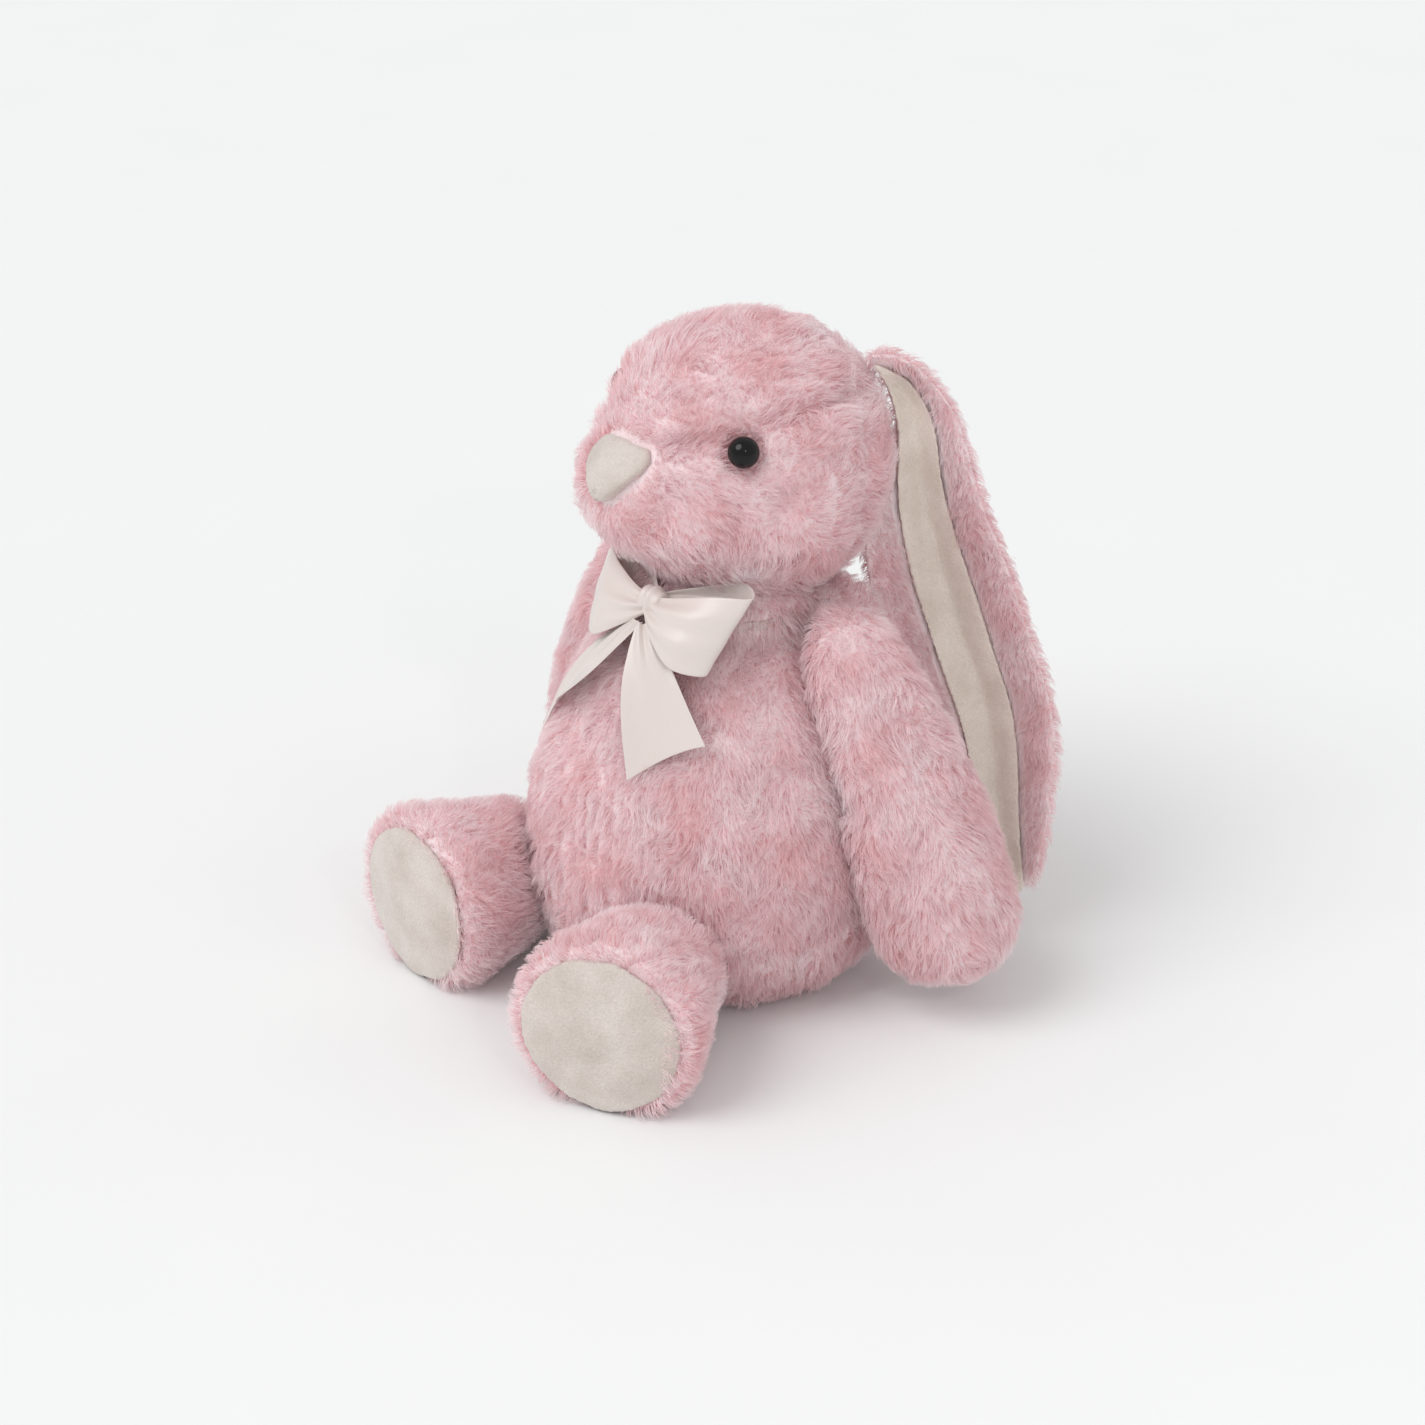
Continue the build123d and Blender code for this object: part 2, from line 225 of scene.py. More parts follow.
def connected_verts(start, seen):
    """Every vertex joined to start by edges. Their numbers are added to seen."""
    seen.add(start.index)
    shell, todo = [start], [start]
    while todo:
        for edge in todo.pop().link_edges:
            for vert in edge.verts:
                if vert.index not in seen:
                    seen.add(vert.index)
                    shell.append(vert)
                    todo.append(vert)
    return shell


def keep_outer_shell(bm):
    """Removes every closed shell but the outermost, such as the room for the pellet bag in the filling."""
    bm.verts.ensure_lookup_table()
    seen = set()
    shells = [connected_verts(start, seen) for start in bm.verts if start.index not in seen]
    shells.sort(key=lambda shell: max(vert.co.length for vert in shell), reverse=True)
    spare = [vert for shell in shells[1:] for vert in shell]
    bmesh.ops.delete(bm, geom=spare, context="VERTS")


def cad_copy(name, node):
    """A new object from the outer shell of a CAD node's mesh."""
    bm = bmesh.new()
    bm.from_mesh(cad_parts[node].data)
    bmesh.ops.remove_doubles(bm, verts=bm.verts, dist=1e-6)
    keep_outer_shell(bm)
    return link_bmesh(name, bm)


def add_ball(obj, centre, radii):
    """Adds an ellipsoid to a mesh that is about to be voxel remeshed."""
    bm = bmesh.new()
    bm.from_mesh(obj.data)
    made = bmesh.ops.create_icosphere(bm, subdivisions=4, radius=1.0)
    for vert in made["verts"]:
        vert.co = Vector(centre) + Vector([c * r for c, r in zip(vert.co, radii)])
    bm.to_mesh(obj.data)
    bm.free()


def remesh(obj, voxel, smooth_steps):
    """Rebuilds the mesh from voxels and rounds off their steps."""
    modifier = obj.modifiers.new("remesh", "REMESH")
    modifier.mode = "VOXEL"
    modifier.voxel_size = voxel
    smoother = obj.modifiers.new("smooth", "SMOOTH")
    smoother.factor = 0.5
    smoother.iterations = smooth_steps
    bake(obj)


def subdivide(obj):
    modifier = obj.modifiers.new("subdivide", "SUBSURF")
    modifier.levels = 1
    modifier.render_levels = 1
    bake(obj)


def curve_points(controls, count=60):
    """Points along a smooth curve through the control points."""
    p = [Vector(c) for c in controls]
    p = [p[0] * 2 - p[1]] + p + [p[-1] * 2 - p[-2]]
    out = []
    spans = len(p) - 3
    for i in range(count + 1):
        t = i / count * spans
        k = min(int(t), spans - 1)
        t -= k
        a, b, c, d = p[k:k + 4]
        out.append(0.5 * (2 * b + (c - a) * t + (2 * a - 5 * b + 4 * c - d) * t * t
                          + (3 * b - a - 3 * c + d) * t ** 3))
    return np.array([tuple(v) for v in out])


def distance_to(co, line):
    """Each point's distance to the nearest of a curve's points."""
    best = np.full(len(co), np.inf)
    for q in line:
        np.minimum(best, np.linalg.norm(co - q, axis=1), out=best)
    return best


def crease(obj, controls, depth, width):
    """Presses a soft valley into the mesh along a curve."""
    co = points_of(obj)
    d = distance_to(co, curve_points(controls))
    set_points(obj, co - normals_of(obj) * (depth * np.exp(-(d / width) ** 2))[:, None])


def bulge(obj, centre, height, width):
    """Swells (or, with a negative height, dents) the mesh round a point."""
    co = points_of(obj)
    d = np.linalg.norm(co - np.array(centre), axis=1)
    set_points(obj, co + normals_of(obj) * (height * np.exp(-(d / width) ** 2))[:, None])


def add_cloth(obj):
    """Makes a skin into lightly pressed cloth for the length of the puffing."""
    cloth = obj.modifiers.new("cloth", "CLOTH")
    cloth.settings.use_pressure = True
    cloth.settings.uniform_pressure_force = PUFF_PRESSURE
    cloth.settings.effector_weights.gravity = 0.0
    cloth.settings.quality = 4
    cloth.settings.mass = 0.3
    cloth.settings.tension_stiffness = 12
    cloth.settings.compression_stiffness = 12
    cloth.settings.bending_stiffness = 0.4
    cloth.point_cache.frame_start = 1
    cloth.point_cache.frame_end = PUFF_FRAMES


def puff(skins):
    """Inflates the plush skins together with cloth pressure and keeps the wrinkled result."""
    before = {obj.name: points_of(obj) for obj in skins}
    for obj in skins:
        add_cloth(obj)
    scene = bpy.context.scene
    for step in range(1, PUFF_FRAMES + 1):
        scene.frame_set(step)
    for obj in skins:
        graph = bpy.context.evaluated_depsgraph_get()
        move = points_of(obj.evaluated_get(graph)) - before[obj.name]
        obj.modifiers.clear()
        size = np.linalg.norm(move, axis=1, keepdims=True)
        set_points(obj, before[obj.name] + move * np.minimum(1.0, PUFF_CAP / np.maximum(size, 1e-9)))
    scene.frame_set(1)


def tufts(obj, flow, height, seed):
    """Ruffles the skin itself into short streaks that lie along the fur's direction."""
    co, normal = points_of(obj), normals_of(obj)
    along = flattened(flow(co, normal), normal)
    streak = waves(co + along * waves(co, 9 * MM, seed)[:, :1] * 2 * MM, 5.5 * MM, seed + 1, 9)[:, 0]
    fine = np.sin(streak * 2.4)
    lump = waves(co, 26 * MM, seed + 2)[:, 0]
    set_points(obj, co + normal * (height * (0.55 * fine + 0.5 * lump))[:, None])


# Materials

def new_material(name):
    mat = bpy.data.materials.new(name)
    mat.use_nodes = True
    mat.node_tree.nodes.clear()
    return mat


def feed(tree, socket, value):
    """Sets a socket to a value, or links it to another node's output."""
    if isinstance(value, bpy.types.NodeSocket):
        tree.links.new(value, socket)
    else:
        socket.default_value = value


def add(tree, kind, inputs=None, **settings):
    """Adds a shader node. inputs maps a socket name or index to a value or to another node's output."""
    made = tree.nodes.new(kind)
    for key, value in settings.items():
        setattr(made, key, value)
    for key, value in (inputs or {}).items():
        feed(tree, made.inputs[key], value)
    return made


def finish_material(mat, shader):
    """Makes a shader node the material's surface."""
    out = add(mat.node_tree, "ShaderNodeOutputMaterial", {"Surface": shader.outputs[0]})
    out.is_active_output = True
    return mat


def object_place(tree):
    return add(tree, "ShaderNodeTexCoord").outputs["Object"]


def noise(tree, place, scale, detail):
    made = add(tree, "ShaderNodeTexNoise", {"Vector": place, "Scale": scale, "Detail": detail})
    return made.outputs["Fac"]


def ranged(tree, value, target, source=(0.0, 1.0)):
    """Maps a shader value from its source range to a target range."""
    made = add(tree, "ShaderNodeMapRange", {"Value": value, "From Min": source[0], "From Max": source[1],
                                            "To Min": target[0], "To Max": target[1]})
    return made.outputs["Result"]


def bumped(tree, height, strength, distance):
    made = add(tree, "ShaderNodeBump", {"Height": height, "Strength": strength, "Distance": distance})
    return made.outputs[0]


def ramp(tree, factor, stops):
    """A colour ramp through (position, colour) stops."""
    made = add(tree, "ShaderNodeValToRGB", {"Fac": factor})
    elements = made.color_ramp.elements
    while len(elements) < len(stops):
        elements.new(0.5)
    for element, (position, colour) in zip(elements, stops):
        element.position = position
        element.color = colour
    return made.outputs["Color"]


def mixed(tree, factor, a, b, blend="MIX"):
    """A mix of two colours."""
    made = tree.nodes.new("ShaderNodeMix")
    made.data_type = "RGBA"
    made.blend_type = blend
    for key, value in (("Factor", factor), ("A", a), ("B", b)):
        sockets = [s for s in made.inputs if s.name == key and s.enabled]
        feed(tree, sockets[0], value)
    return [s for s in made.outputs if s.enabled][0]


def fur_colour(tree, along):
    """Rose at the root, light pink at the tip, with soft patches where the pile lies differently."""
    patch = noise(tree, object_place(tree), 48.0, 5.0)
    base = ramp(tree, along, [(0.0, FUR_ROOT), (0.45, FUR_MID), (1.0, FUR_TIP)])
    return mixed(tree, ranged(tree, patch, target=(0.0, 0.65), source=(0.35, 0.7)), base, FUR_ROOT)


def strand_material(name):
    """One strand of fur: matt, slightly see-through, and a little lighter or darker than its neighbours."""
    mat = new_material(name)
    tree = mat.node_tree
    info = add(tree, "ShaderNodeHairInfo")
    shade = ranged(tree, info.outputs["Random"], target=(0.86, 1.1))
    colour = mixed(tree, 1.0, fur_colour(tree, info.outputs["Intercept"]), shade, "MULTIPLY")
    body = add(tree, "ShaderNodeBsdfPrincipled", {"Base Color": colour, "Roughness": 0.62,
                                                  "Specular IOR Level": 0.25})
    glow = add(tree, "ShaderNodeBsdfTranslucent", {"Color": colour})
    both = add(tree, "ShaderNodeMixShader", {0: 0.38, 1: body.outputs[0], 2: glow.outputs[0]})
    return finish_material(mat, both)


def plush_material(name):
    """The skin under the strands: the same pink, in short streaks with a fine woven backing."""
    mat = new_material(name)
    tree = mat.node_tree
    stretch = add(tree, "ShaderNodeMapping", {"Vector": object_place(tree), "Scale": (1.0, 1.0, 0.35)})
    streak = noise(tree, stretch.outputs[0], 900.0, 4.0)
    shader = add(tree, "ShaderNodeBsdfPrincipled", {"Base Color": fur_colour(tree, streak),
                                                    "Roughness": 0.95, "Sheen Weight": 0.35,
                                                    "Normal": bumped(tree, streak, 0.8, 0.0015)})
    return finish_material(mat, shader)


def velour_material(name, light, dark, scale=1.0):
    """Brushed velour: a short nap with knitted rows under it and soft finger-mark patches."""
    mat = new_material(name)
    tree = mat.node_tree
    place = object_place(tree)
    nap = noise(tree, place, 1500.0 * scale, 3.0)
    rows = add(tree, "ShaderNodeTexVoronoi", {"Vector": place, "Scale": 1050.0 * scale})
    mark = ranged(tree, noise(tree, place, 60.0, 4.0), target=(0.0, 1.0), source=(0.35, 0.7))
    speck = ranged(tree, nap, target=(0.9, 1.06), source=(0.3, 0.7))
    colour = mixed(tree, 1.0, mixed(tree, mark, light, dark), speck, "MULTIPLY")
    height = add(tree, "ShaderNodeMath", {0: nap, 1: rows.outputs["Distance"]}, operation="ADD")
    bump = bumped(tree, height.outputs[0], 0.45, 0.0006)
    shader = add(tree, "ShaderNodeBsdfPrincipled", {"Base Color": colour, "Roughness": 0.9,
                                                    "Sheen Weight": 0.5, "Sheen Roughness": 0.45,
                                                    "Normal": bump})
    return finish_material(mat, shader)


def satin_material(name):
    """Satin: fine threads across the ribbon and a long soft highlight along it."""
    mat = new_material(name)
    tree = mat.node_tree
    uv = add(tree, "ShaderNodeUVMap", uv_map="ribbon").outputs[0]
    thread = add(tree, "ShaderNodeMapping", {"Vector": uv, "Scale": (3.0, 160.0, 1.0)})
    fine = noise(tree, thread.outputs[0], 4.0, 3.0)
    shader = add(tree, "ShaderNodeBsdfPrincipled", {"Base Color": mixed(tree, fine, SATIN, SATIN_SHADE),
                                                    "Roughness": 0.27, "Anisotropic": 0.6,
                                                    "Specular IOR Level": 0.6, "Sheen Weight": 0.2,
                                                    "Normal": bumped(tree, fine, 0.12, 0.0003)})
    return finish_material(mat, shader)


def gloss_material(name):
    """Polished black plastic with a trace of handling on it."""
    mat = new_material(name)
    tree = mat.node_tree
    grime = noise(tree, object_place(tree), 500.0, 4.0)
    shader = add(tree, "ShaderNodeBsdfPrincipled", {"Base Color": EYE_BLACK, "Specular IOR Level": 0.3,
                                                    "Roughness": ranged(tree, grime, target=(0.03, 0.09))})
    return finish_material(mat, shader)


def floor_material(name):
    """Matt white paper with a barely uneven tone."""
    mat = new_material(name)
    tree = mat.node_tree
    grain = noise(tree, object_place(tree), 8.0, 2.0)
    tone = ramp(tree, grain, [(0.0, FLOOR_DARK), (1.0, FLOOR_LIGHT)])
    shader = add(tree, "ShaderNodeBsdfPrincipled", {"Base Color": tone, "Roughness": 0.9,
                                                    "Specular IOR Level": 0.1})
    return finish_material(mat, shader)


STRANDS = strand_material("fur_strands")
PLUSH = plush_material("plush")
LINING = velour_material("lining_velour", CREAM, CREAM_SHADE)
SOLE = velour_material("sole_velour", SOLE_TONE, SOLE_SHADE, 0.8)
NOSE = velour_material("nose_velour", SOLE_TONE, SOLE_SHADE, 1.2)
RIBBON = satin_material("satin")
EYE = gloss_material("eye_gloss")


def dress(obj, body, material, nodes):
    """The common last steps for a piece: material, slot, hiding the CAD nodes it stands in for, and what it
    rides on.
    """
    obj.data.materials.clear()
    obj.data.materials.append(material)
    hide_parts(*nodes)
    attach(obj, body)


def paint_node(name, material):
    """Gives a CAD node that is shown as it is its material."""
    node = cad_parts[name]
    node.data.materials.clear()
    node.data.materials.append(material)
    return node


# Fur

def triangles_of(obj):
    """The three point numbers of each triangle, one row each."""
    mesh = obj.data
    mesh.calc_loop_triangles()
    tri = np.empty(len(mesh.loop_triangles) * 3, dtype=np.int32)
    mesh.loop_triangles.foreach_get("vertices", tri)
    return tri.reshape(-1, 3)


def scatter(skin, rng):
    """Random roots spread evenly over a skin, and the skin's normal at each."""
    tri = triangles_of(skin)
    co, vertex_normal = points_of(skin), normals_of(skin)
    a, b, c = co[tri[:, 0]], co[tri[:, 1]], co[tri[:, 2]]
    area = 0.5 * np.linalg.norm(np.cross(b - a, c - a), axis=1)
    share = 1.0
    count = int(area.sum() * PILE_DENSITY * share)
    pick = rng.choice(len(tri), count, p=area / area.sum())
    u, v = rng.random(count), rng.random(count)
    flip = u + v > 1
    u[flip], v[flip] = 1 - u[flip], 1 - v[flip]
    corner = tri[pick]

    def within(values):
        """The value at each root, from the values at its triangle's corners."""
        return (values[corner[:, 0]] * (1 - u - v)[:, None] + values[corner[:, 1]] * u[:, None]
                + values[corner[:, 2]] * v[:, None])

    return within(co), unit_rows(within(vertex_normal))


def comb(root, normal, flow, seed, rng):
    """The way each strand leans: along the flow, with soft whorls and a few strays."""
    way = unit_rows(flow(root, normal))
    way = way + 0.55 * waves(root, 22 * MM, seed + 5) + 0.35 * waves(root, 8 * MM, seed + 6)
    way += rng.normal(size=root.shape) * 0.22
    return flattened(way, normal)


def bend(root, normal, way, length, lean, seed, rng):
    """The points of each strand, which rises from the skin and bends over the way it leans."""
    count = len(root)
    size = length * rng.uniform(0.72, 1.12, count) * (1 + 0.12 * waves(root, 15 * MM, seed + 7)[:, 0])
    tilt = np.clip(lean + 0.13 * waves(root, 11 * MM, seed + 8)[:, 0], 0.2, 0.93)
    strands = np.empty((count, STRAND_POINTS, 3))
    for i, s in enumerate(STRAND_STEPS):
        out = (size * (s - tilt * 0.62 * s ** 1.8))[:, None] * normal
        side = (size * tilt * 0.82 * s ** 1.5)[:, None] * way
        strands[:, i] = root + out + side
    return strands


def clump(strands, root, seed, rng):
    """Draws the tips of neighbouring strands together, then makes every strand a little uneven."""
    cell = np.floor((root + waves(root, 10 * MM, seed + 9) * 1.3 * MM) / CLUMP_CELL).astype(np.int64)
    x, y, z = (cell[:, k] * prime for k, prime in enumerate(CELL_PRIMES))
    _, group = np.unique(x ^ y ^ z, return_inverse=True)
    group = group.ravel()
    members = np.bincount(group).astype(float)
    tip = strands[:, -1]
    centre = np.stack([np.bincount(group, weights=tip[:, k]) / members for k in range(3)], axis=1)[group]
    pull = 0.5 * rng.uniform(0.5, 1.15, len(root))
    for i, s in enumerate(STRAND_STEPS):
        strands[:, i] += (centre - tip) * (pull * s ** 1.6)[:, None]
    strands += (rng.normal(size=strands.shape) * 0.13 * MM) * STRAND_STEPS[None, :, None]


def link_strands(name, strands):
    """A hair object from the points of its strands, which thin out towards the tip."""
    curves = bpy.data.hair_curves.new(name)
    curves.add_curves([STRAND_POINTS] * len(strands))
    curves.attributes["position"].data.foreach_set("vector", strands.astype(np.float32).ravel())
    radius = curves.attributes.get("radius") or curves.attributes.new("radius", "FLOAT", "POINT")
    thickness = STRAND_ROOT + (STRAND_TIP - STRAND_ROOT) * STRAND_STEPS
    radius.data.foreach_set("value", np.tile(thickness, len(strands)).astype(np.float32))
    curves.materials.append(STRANDS)
    return link(name, curves)


def grow(name, skin, body, flow, seed, length=PILE, lean=PILE_LEAN, keep=None):
    """Grows combed, clumped hair strands from a skin. flow gives the combing direction at each root."""
    rng = np.random.default_rng(seed)
    root, normal = scatter(skin, rng)
    if keep is not None:
        chosen = keep(root)
        root, normal = root[chosen], normal[chosen]
    way = comb(root, normal, flow, seed, rng)
    strands = bend(root, normal, way, length, lean, seed, rng)
    clump(strands, root, seed, rng)
    strands[:, :, 2] = np.maximum(strands[:, :, 2], LOWEST_STRAND)
    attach(link_strands(name, strands), body)


def toward(vector):
    """Fur combed in one direction everywhere."""
    direction = np.array(vector, dtype=float)
    return lambda co, normal: np.tile(direction, (len(co), 1))


def away_from(point, drift=(0, 0, 0)):
    """Fur combed away from a point, with a steady drift."""
    origin, steady = np.array(point), np.array(drift, dtype=float)
    return lambda co, normal: unit_rows(co - origin) + steady


def head_flow(nose, whorls):
    """Fur that runs back from the nose and bursts outwards from the middle of each cheek."""
    back = away_from(nose)

    def flow(co, normal):
        direction = back(co, normal)
        for centre in whorls:
            offset = co - np.array(centre)
            near = np.exp(-(np.linalg.norm(offset, axis=1) / (24 * MM)) ** 2)
            direction = direction * (1 - near[:, None]) + unit_rows(offset) * 1.6 * near[:, None]
        return direction
    return flow


def clear_of(other, reach):
    """A test for fur roots: true for those further than reach from another mesh."""
    co = points_of(other)[::2]
    tree = kdtree.KDTree(len(co))
    for i, p in enumerate(co):
        tree.insert(p, i)
    tree.balance()
    return lambda roots: np.array([tree.find(r)[2] > reach for r in roots], dtype=bool)


# Places on the head

EYE_CENTRE = {side: middle_of(f"eye_{side_name(side)}") for side in SIDES}
HEAD_MIDDLE = spot("head_stuffing", 0.5, 0.5, 0.44)
HEAD_X = (EYE_CENTRE[1] - EYE_CENTRE[-1]).normalized()      # to the head's own left
HEAD_BACK = UP.cross(HEAD_X)
HEAD_SIZE = (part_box("head_stuffing")[1].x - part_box("head_stuffing")[0].x) / 2
NOSE_MIDDLE = middle_of("nose_patch")


def on_head(side, out, back, up):
    """A point on the head, in fractions of its half width: outwards, backwards and up."""
    return HEAD_MIDDLE + (HEAD_X * side * out + HEAD_BACK * back + UP * up) * HEAD_SIZE


def ear_root(side):
    """The point where an ear leaves the head, taken from the left ear and mirrored for the right one."""
    left = spot("ear_left_shell", 0.16, 0.12, 0.96)
    return Vector((left.x * side, left.y, left.z))


CHEEK = {side: on_head(side, 1.0, -0.14, -0.16) for side in SIDES}


# The skins of the plush pieces

def make_head():
    """The stuffed head with fuller cheeks, jowls, chin and muzzle."""
    obj = cad_copy("head_skin", "head_stuffing")
    for side in SIDES:
        add_ball(obj, CHEEK[side].lerp(HEAD_MIDDLE, 0.36), (23 * MM, 27 * MM, 23 * MM))
        add_ball(obj, on_head(side, 0.42, -0.62, -0.14), (20 * MM, 20 * MM, 17 * MM))
    add_ball(obj, on_head(1, 0, 0.05, -0.55), (43 * MM, 42 * MM, 20 * MM))
    add_ball(obj, on_head(1, 0, -0.62, -0.07), (37 * MM, 31 * MM, 27 * MM))
    remesh(obj, SKIN_VOXEL, 10)
    return obj


def shape_head(obj):
    """Pulls in the brow line, the eye sockets and the edge of each cheek."""
    for side in SIDES:
        eye, root = EYE_CENTRE[side], ear_root(side)
        corner = NOSE_MIDDLE + HEAD_X * side * 17 * MM + Vector((0, 0, 12 * MM))
        above_eye = eye + Vector((0, 2 * MM, 9 * MM))
        brow = [corner,
                corner.lerp(above_eye, 0.55) - Vector((0, 0, 2 * MM)),
                above_eye,
                above_eye.lerp(root, 0.5) + Vector((6 * MM * side, 0, 2 * MM)),
                root]
        crease(obj, brow, depth=5.0 * MM, width=4.6 * MM)
        bulge(obj, eye, height=-2.4 * MM, width=9 * MM)
        behind = [on_head(side, 0.80, 0.52, 0.42),
                  on_head(side, 0.88, 0.42, 0.0),
                  on_head(side, 0.78, 0.44, -0.4),
                  on_head(side, 0.5, 0.3, -0.8)]
        crease(obj, behind, depth=4.2 * MM, width=4.5 * MM)


def make_torso():
    """The stuffed body with a neck up into the head and a rounded shoulder above each arm."""
    obj = cad_copy("torso_skin", "torso_stuffing")
    add_ball(obj, middle_of("ribbon_neck_band"), (36.5 * MM, 36.5 * MM, 26 * MM))
    for side in SIDES:
        add_ball(obj, spot("torso_stuffing", 0.5 + 0.22 * side, 0.72, 0.94), (17 * MM, 17 * MM, 17 * MM))
    remesh(obj, SKIN_VOXEL, 8)
    return obj


def shape_torso(obj):
    """Pulls in the seam between the chest and each arm."""
    for side in SIDES:
        stations = ((0.30, 0.30, 0.93), (0.40, 0.2, 0.70), (0.45, 0.2, 0.45), (0.44, 0.2, 0.2))
        seam = [spot("torso_stuffing", 0.5 + share * side, v, w) for share, v, w in stations]
        crease(obj, seam, depth=2.2 * MM, width=6 * MM)


def make_limb(kind, side):
    """The stuffed skin of an arm or a leg."""
    obj = cad_copy(f"{kind}_{side_name(side)}_skin", f"{kind}_{side_name(side)}_stuffing")
    remesh(obj, SKIN_VOXEL, 8)
    return obj


def make_ear(side):
    """The plush outside of an ear."""
    obj = cad_copy(f"ear_{side_name(side)}_skin", f"ear_{side_name(side)}_shell")
    remesh(obj, EAR_VOXEL, 3)
    return obj


def make_lining(side):
    """The velour inside of an ear, with faint long wrinkles."""
    obj = cad_copy(f"ear_{side_name(side)}_velour", f"ear_{side_name(side)}_lining")
    remesh(obj, LINING_VOXEL, 6)
    co, normal = points_of(obj), normals_of(obj)
    wrinkle = waves(co * np.array([1, 1, 0.4]), 12 * MM, 91 + side)[:, 0]
    set_points(obj, co + normal * (0.25 * MM * wrinkle)[:, None])
    return obj


def ear_open(side):
    """The way the lining of an ear faces."""
    return np.array((0.7071 * side, -0.7071, 0.0))


def ear_fold_line(node, open_way):
    """Points along the bottom of an ear's lengthwise fold, from root to tip."""
    co = points_of(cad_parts[node])
    low, high = co[:, 2].min(), co[:, 2].max()
    line = []
    for level in np.linspace(high - 8 * MM, low + 8 * MM, 24):
        ring = co[np.abs(co[:, 2] - level) < 8 * MM]
        if len(ring):
            deep = ring[np.argsort(ring @ open_way)[:max(1, len(ring) // 12)]]
            line.append(tuple(deep.mean(axis=0)))
    return curve_points(line, 160)


def deepen_fold(obj, line, open_way, depth, width):
    """Sharpens the fold along an ear by pressing its middle away from the open side."""
    co = points_of(obj)
    near = np.exp(-(distance_to(co, line) / width) ** 2)
    set_points(obj, co - open_way * (depth * near)[:, None])


def build_plush():
    """The skins of the head, body, limbs and ears, by body name."""
    skins = {"head": make_head(), "torso": make_torso()}
    for side in SIDES:
        skins[f"arm_{side_name(side)}"] = make_limb("arm", side)
        skins[f"leg_{side_name(side)}"] = make_limb("leg", side)
        skins[f"ear_{side_name(side)}"] = make_ear(side)
    puff([obj for key, obj in skins.items() if not key.startswith("ear")])
    shape_head(skins["head"])
    shape_torso(skins["torso"])
    for obj in skins.values():
        subdivide(obj)
    return skins


# Fur, lining and nose on the skins

def surface_of(objects):
    """A ray-casting tree of the objects' meshes together."""
    points, faces = [], []
    for obj in objects:
        start = len(points)
        points.extend(tuple(v.co) for v in obj.data.vertices)
        faces.extend([start + i for i in polygon.vertices] for polygon in obj.data.polygons)
    return BVHTree.FromPolygons(points, faces)


def build_nose(head):
    """The padded velour triangle, puffed out in the middle and laid on the muzzle."""
    obj = cad_copy("nose", "nose_patch")
    remesh(obj, NOSE_VOXEL, 14)
    bulge(obj, NOSE_MIDDLE, height=2.6 * MM, width=13 * MM)
    cad = surface_of([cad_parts[n] for n in ("head_gusset", "head_side_left", "head_side_right")])
    skin = surface_of([head])
    forward = -HEAD_BACK
    turn = Matrix.Rotation(math.radians(4), 3, "Z")
    ahead = turn @ forward
    moved = []
    for vert in obj.data.vertices:
        plain = cad.ray_cast(vert.co + forward * 0.05, -forward)[0]
        near = cad.find_nearest(vert.co)[0]
        lift = (vert.co - (plain or near)).dot(forward)
        place = HEAD_MIDDLE + turn @ (vert.co - HEAD_MIDDLE)
        laid = skin.ray_cast(place + ahead * 0.05, -ahead)[0]
        lift = min(max(lift, -1 * MM), 7 * MM)
        moved.append(tuple((laid or place) + ahead * (lift + 0.4 * MM)))
    set_points(obj, np.array(moved))
    dress(obj, "head", NOSE, ["nose_patch"])
    return obj


def clothe_head(head):
    """Fur that runs back from the nose, with the velour nose and the eyes left clear."""
    flow = head_flow(HEAD_MIDDLE.lerp(NOSE_MIDDLE, 1.25), CHEEK.values())
    tufts(head, flow, RUFFLE, seed=11)
    dress(head, "head", PLUSH, ["head_gusset", "head_side_left", "head_side_right",
                                              "head_stuffing", "eye_washer_left", "eye_washer_right"])
    eyes = [np.array(EYE_CENTRE[side]) for side in SIDES]
    off_nose = clear_of(build_nose(head), NOSE_CLEARANCE)

    def off_face_parts(roots):
        keep = off_nose(roots)
        for eye in eyes:
            keep &= np.linalg.norm(roots - eye, axis=1) > EYE_CLEARANCE
        return keep

    grow("head_fur", head, "head", flow, seed=21, keep=off_face_parts)


def clothe_torso(torso):
    """Fur that hangs straight down, with none under the seat."""
    flow = toward((0, 0, -1))
    tufts(torso, flow, RUFFLE, seed=12)
    dress(torso, "torso", PLUSH, ["torso_front_panel", "torso_back_panel", "seat_base_panel",
                                                "torso_stuffing", "bean_bag_pouch", "bean_bag_pellets"])
    grow("torso_fur", torso, "torso", flow, seed=22, keep=lambda roots: roots[:, 2] > SEAT_CLEARANCE)


def clothe_arm(arm, side):
    """Fur combed down the arm."""
    name = f"arm_{side_name(side)}"
    flow = toward(Vector((0.35 * side, 0.15, -0.93)))
    tufts(arm, flow, RUFFLE, seed=13 + side)
    dress(arm, name, PLUSH, [f"{name}_outer_panel", f"{name}_inner_panel", f"{name}_stuffing"])
    grow(f"{name}_fur", arm, name, flow, seed=24 + side, length=PILE * 1.1)


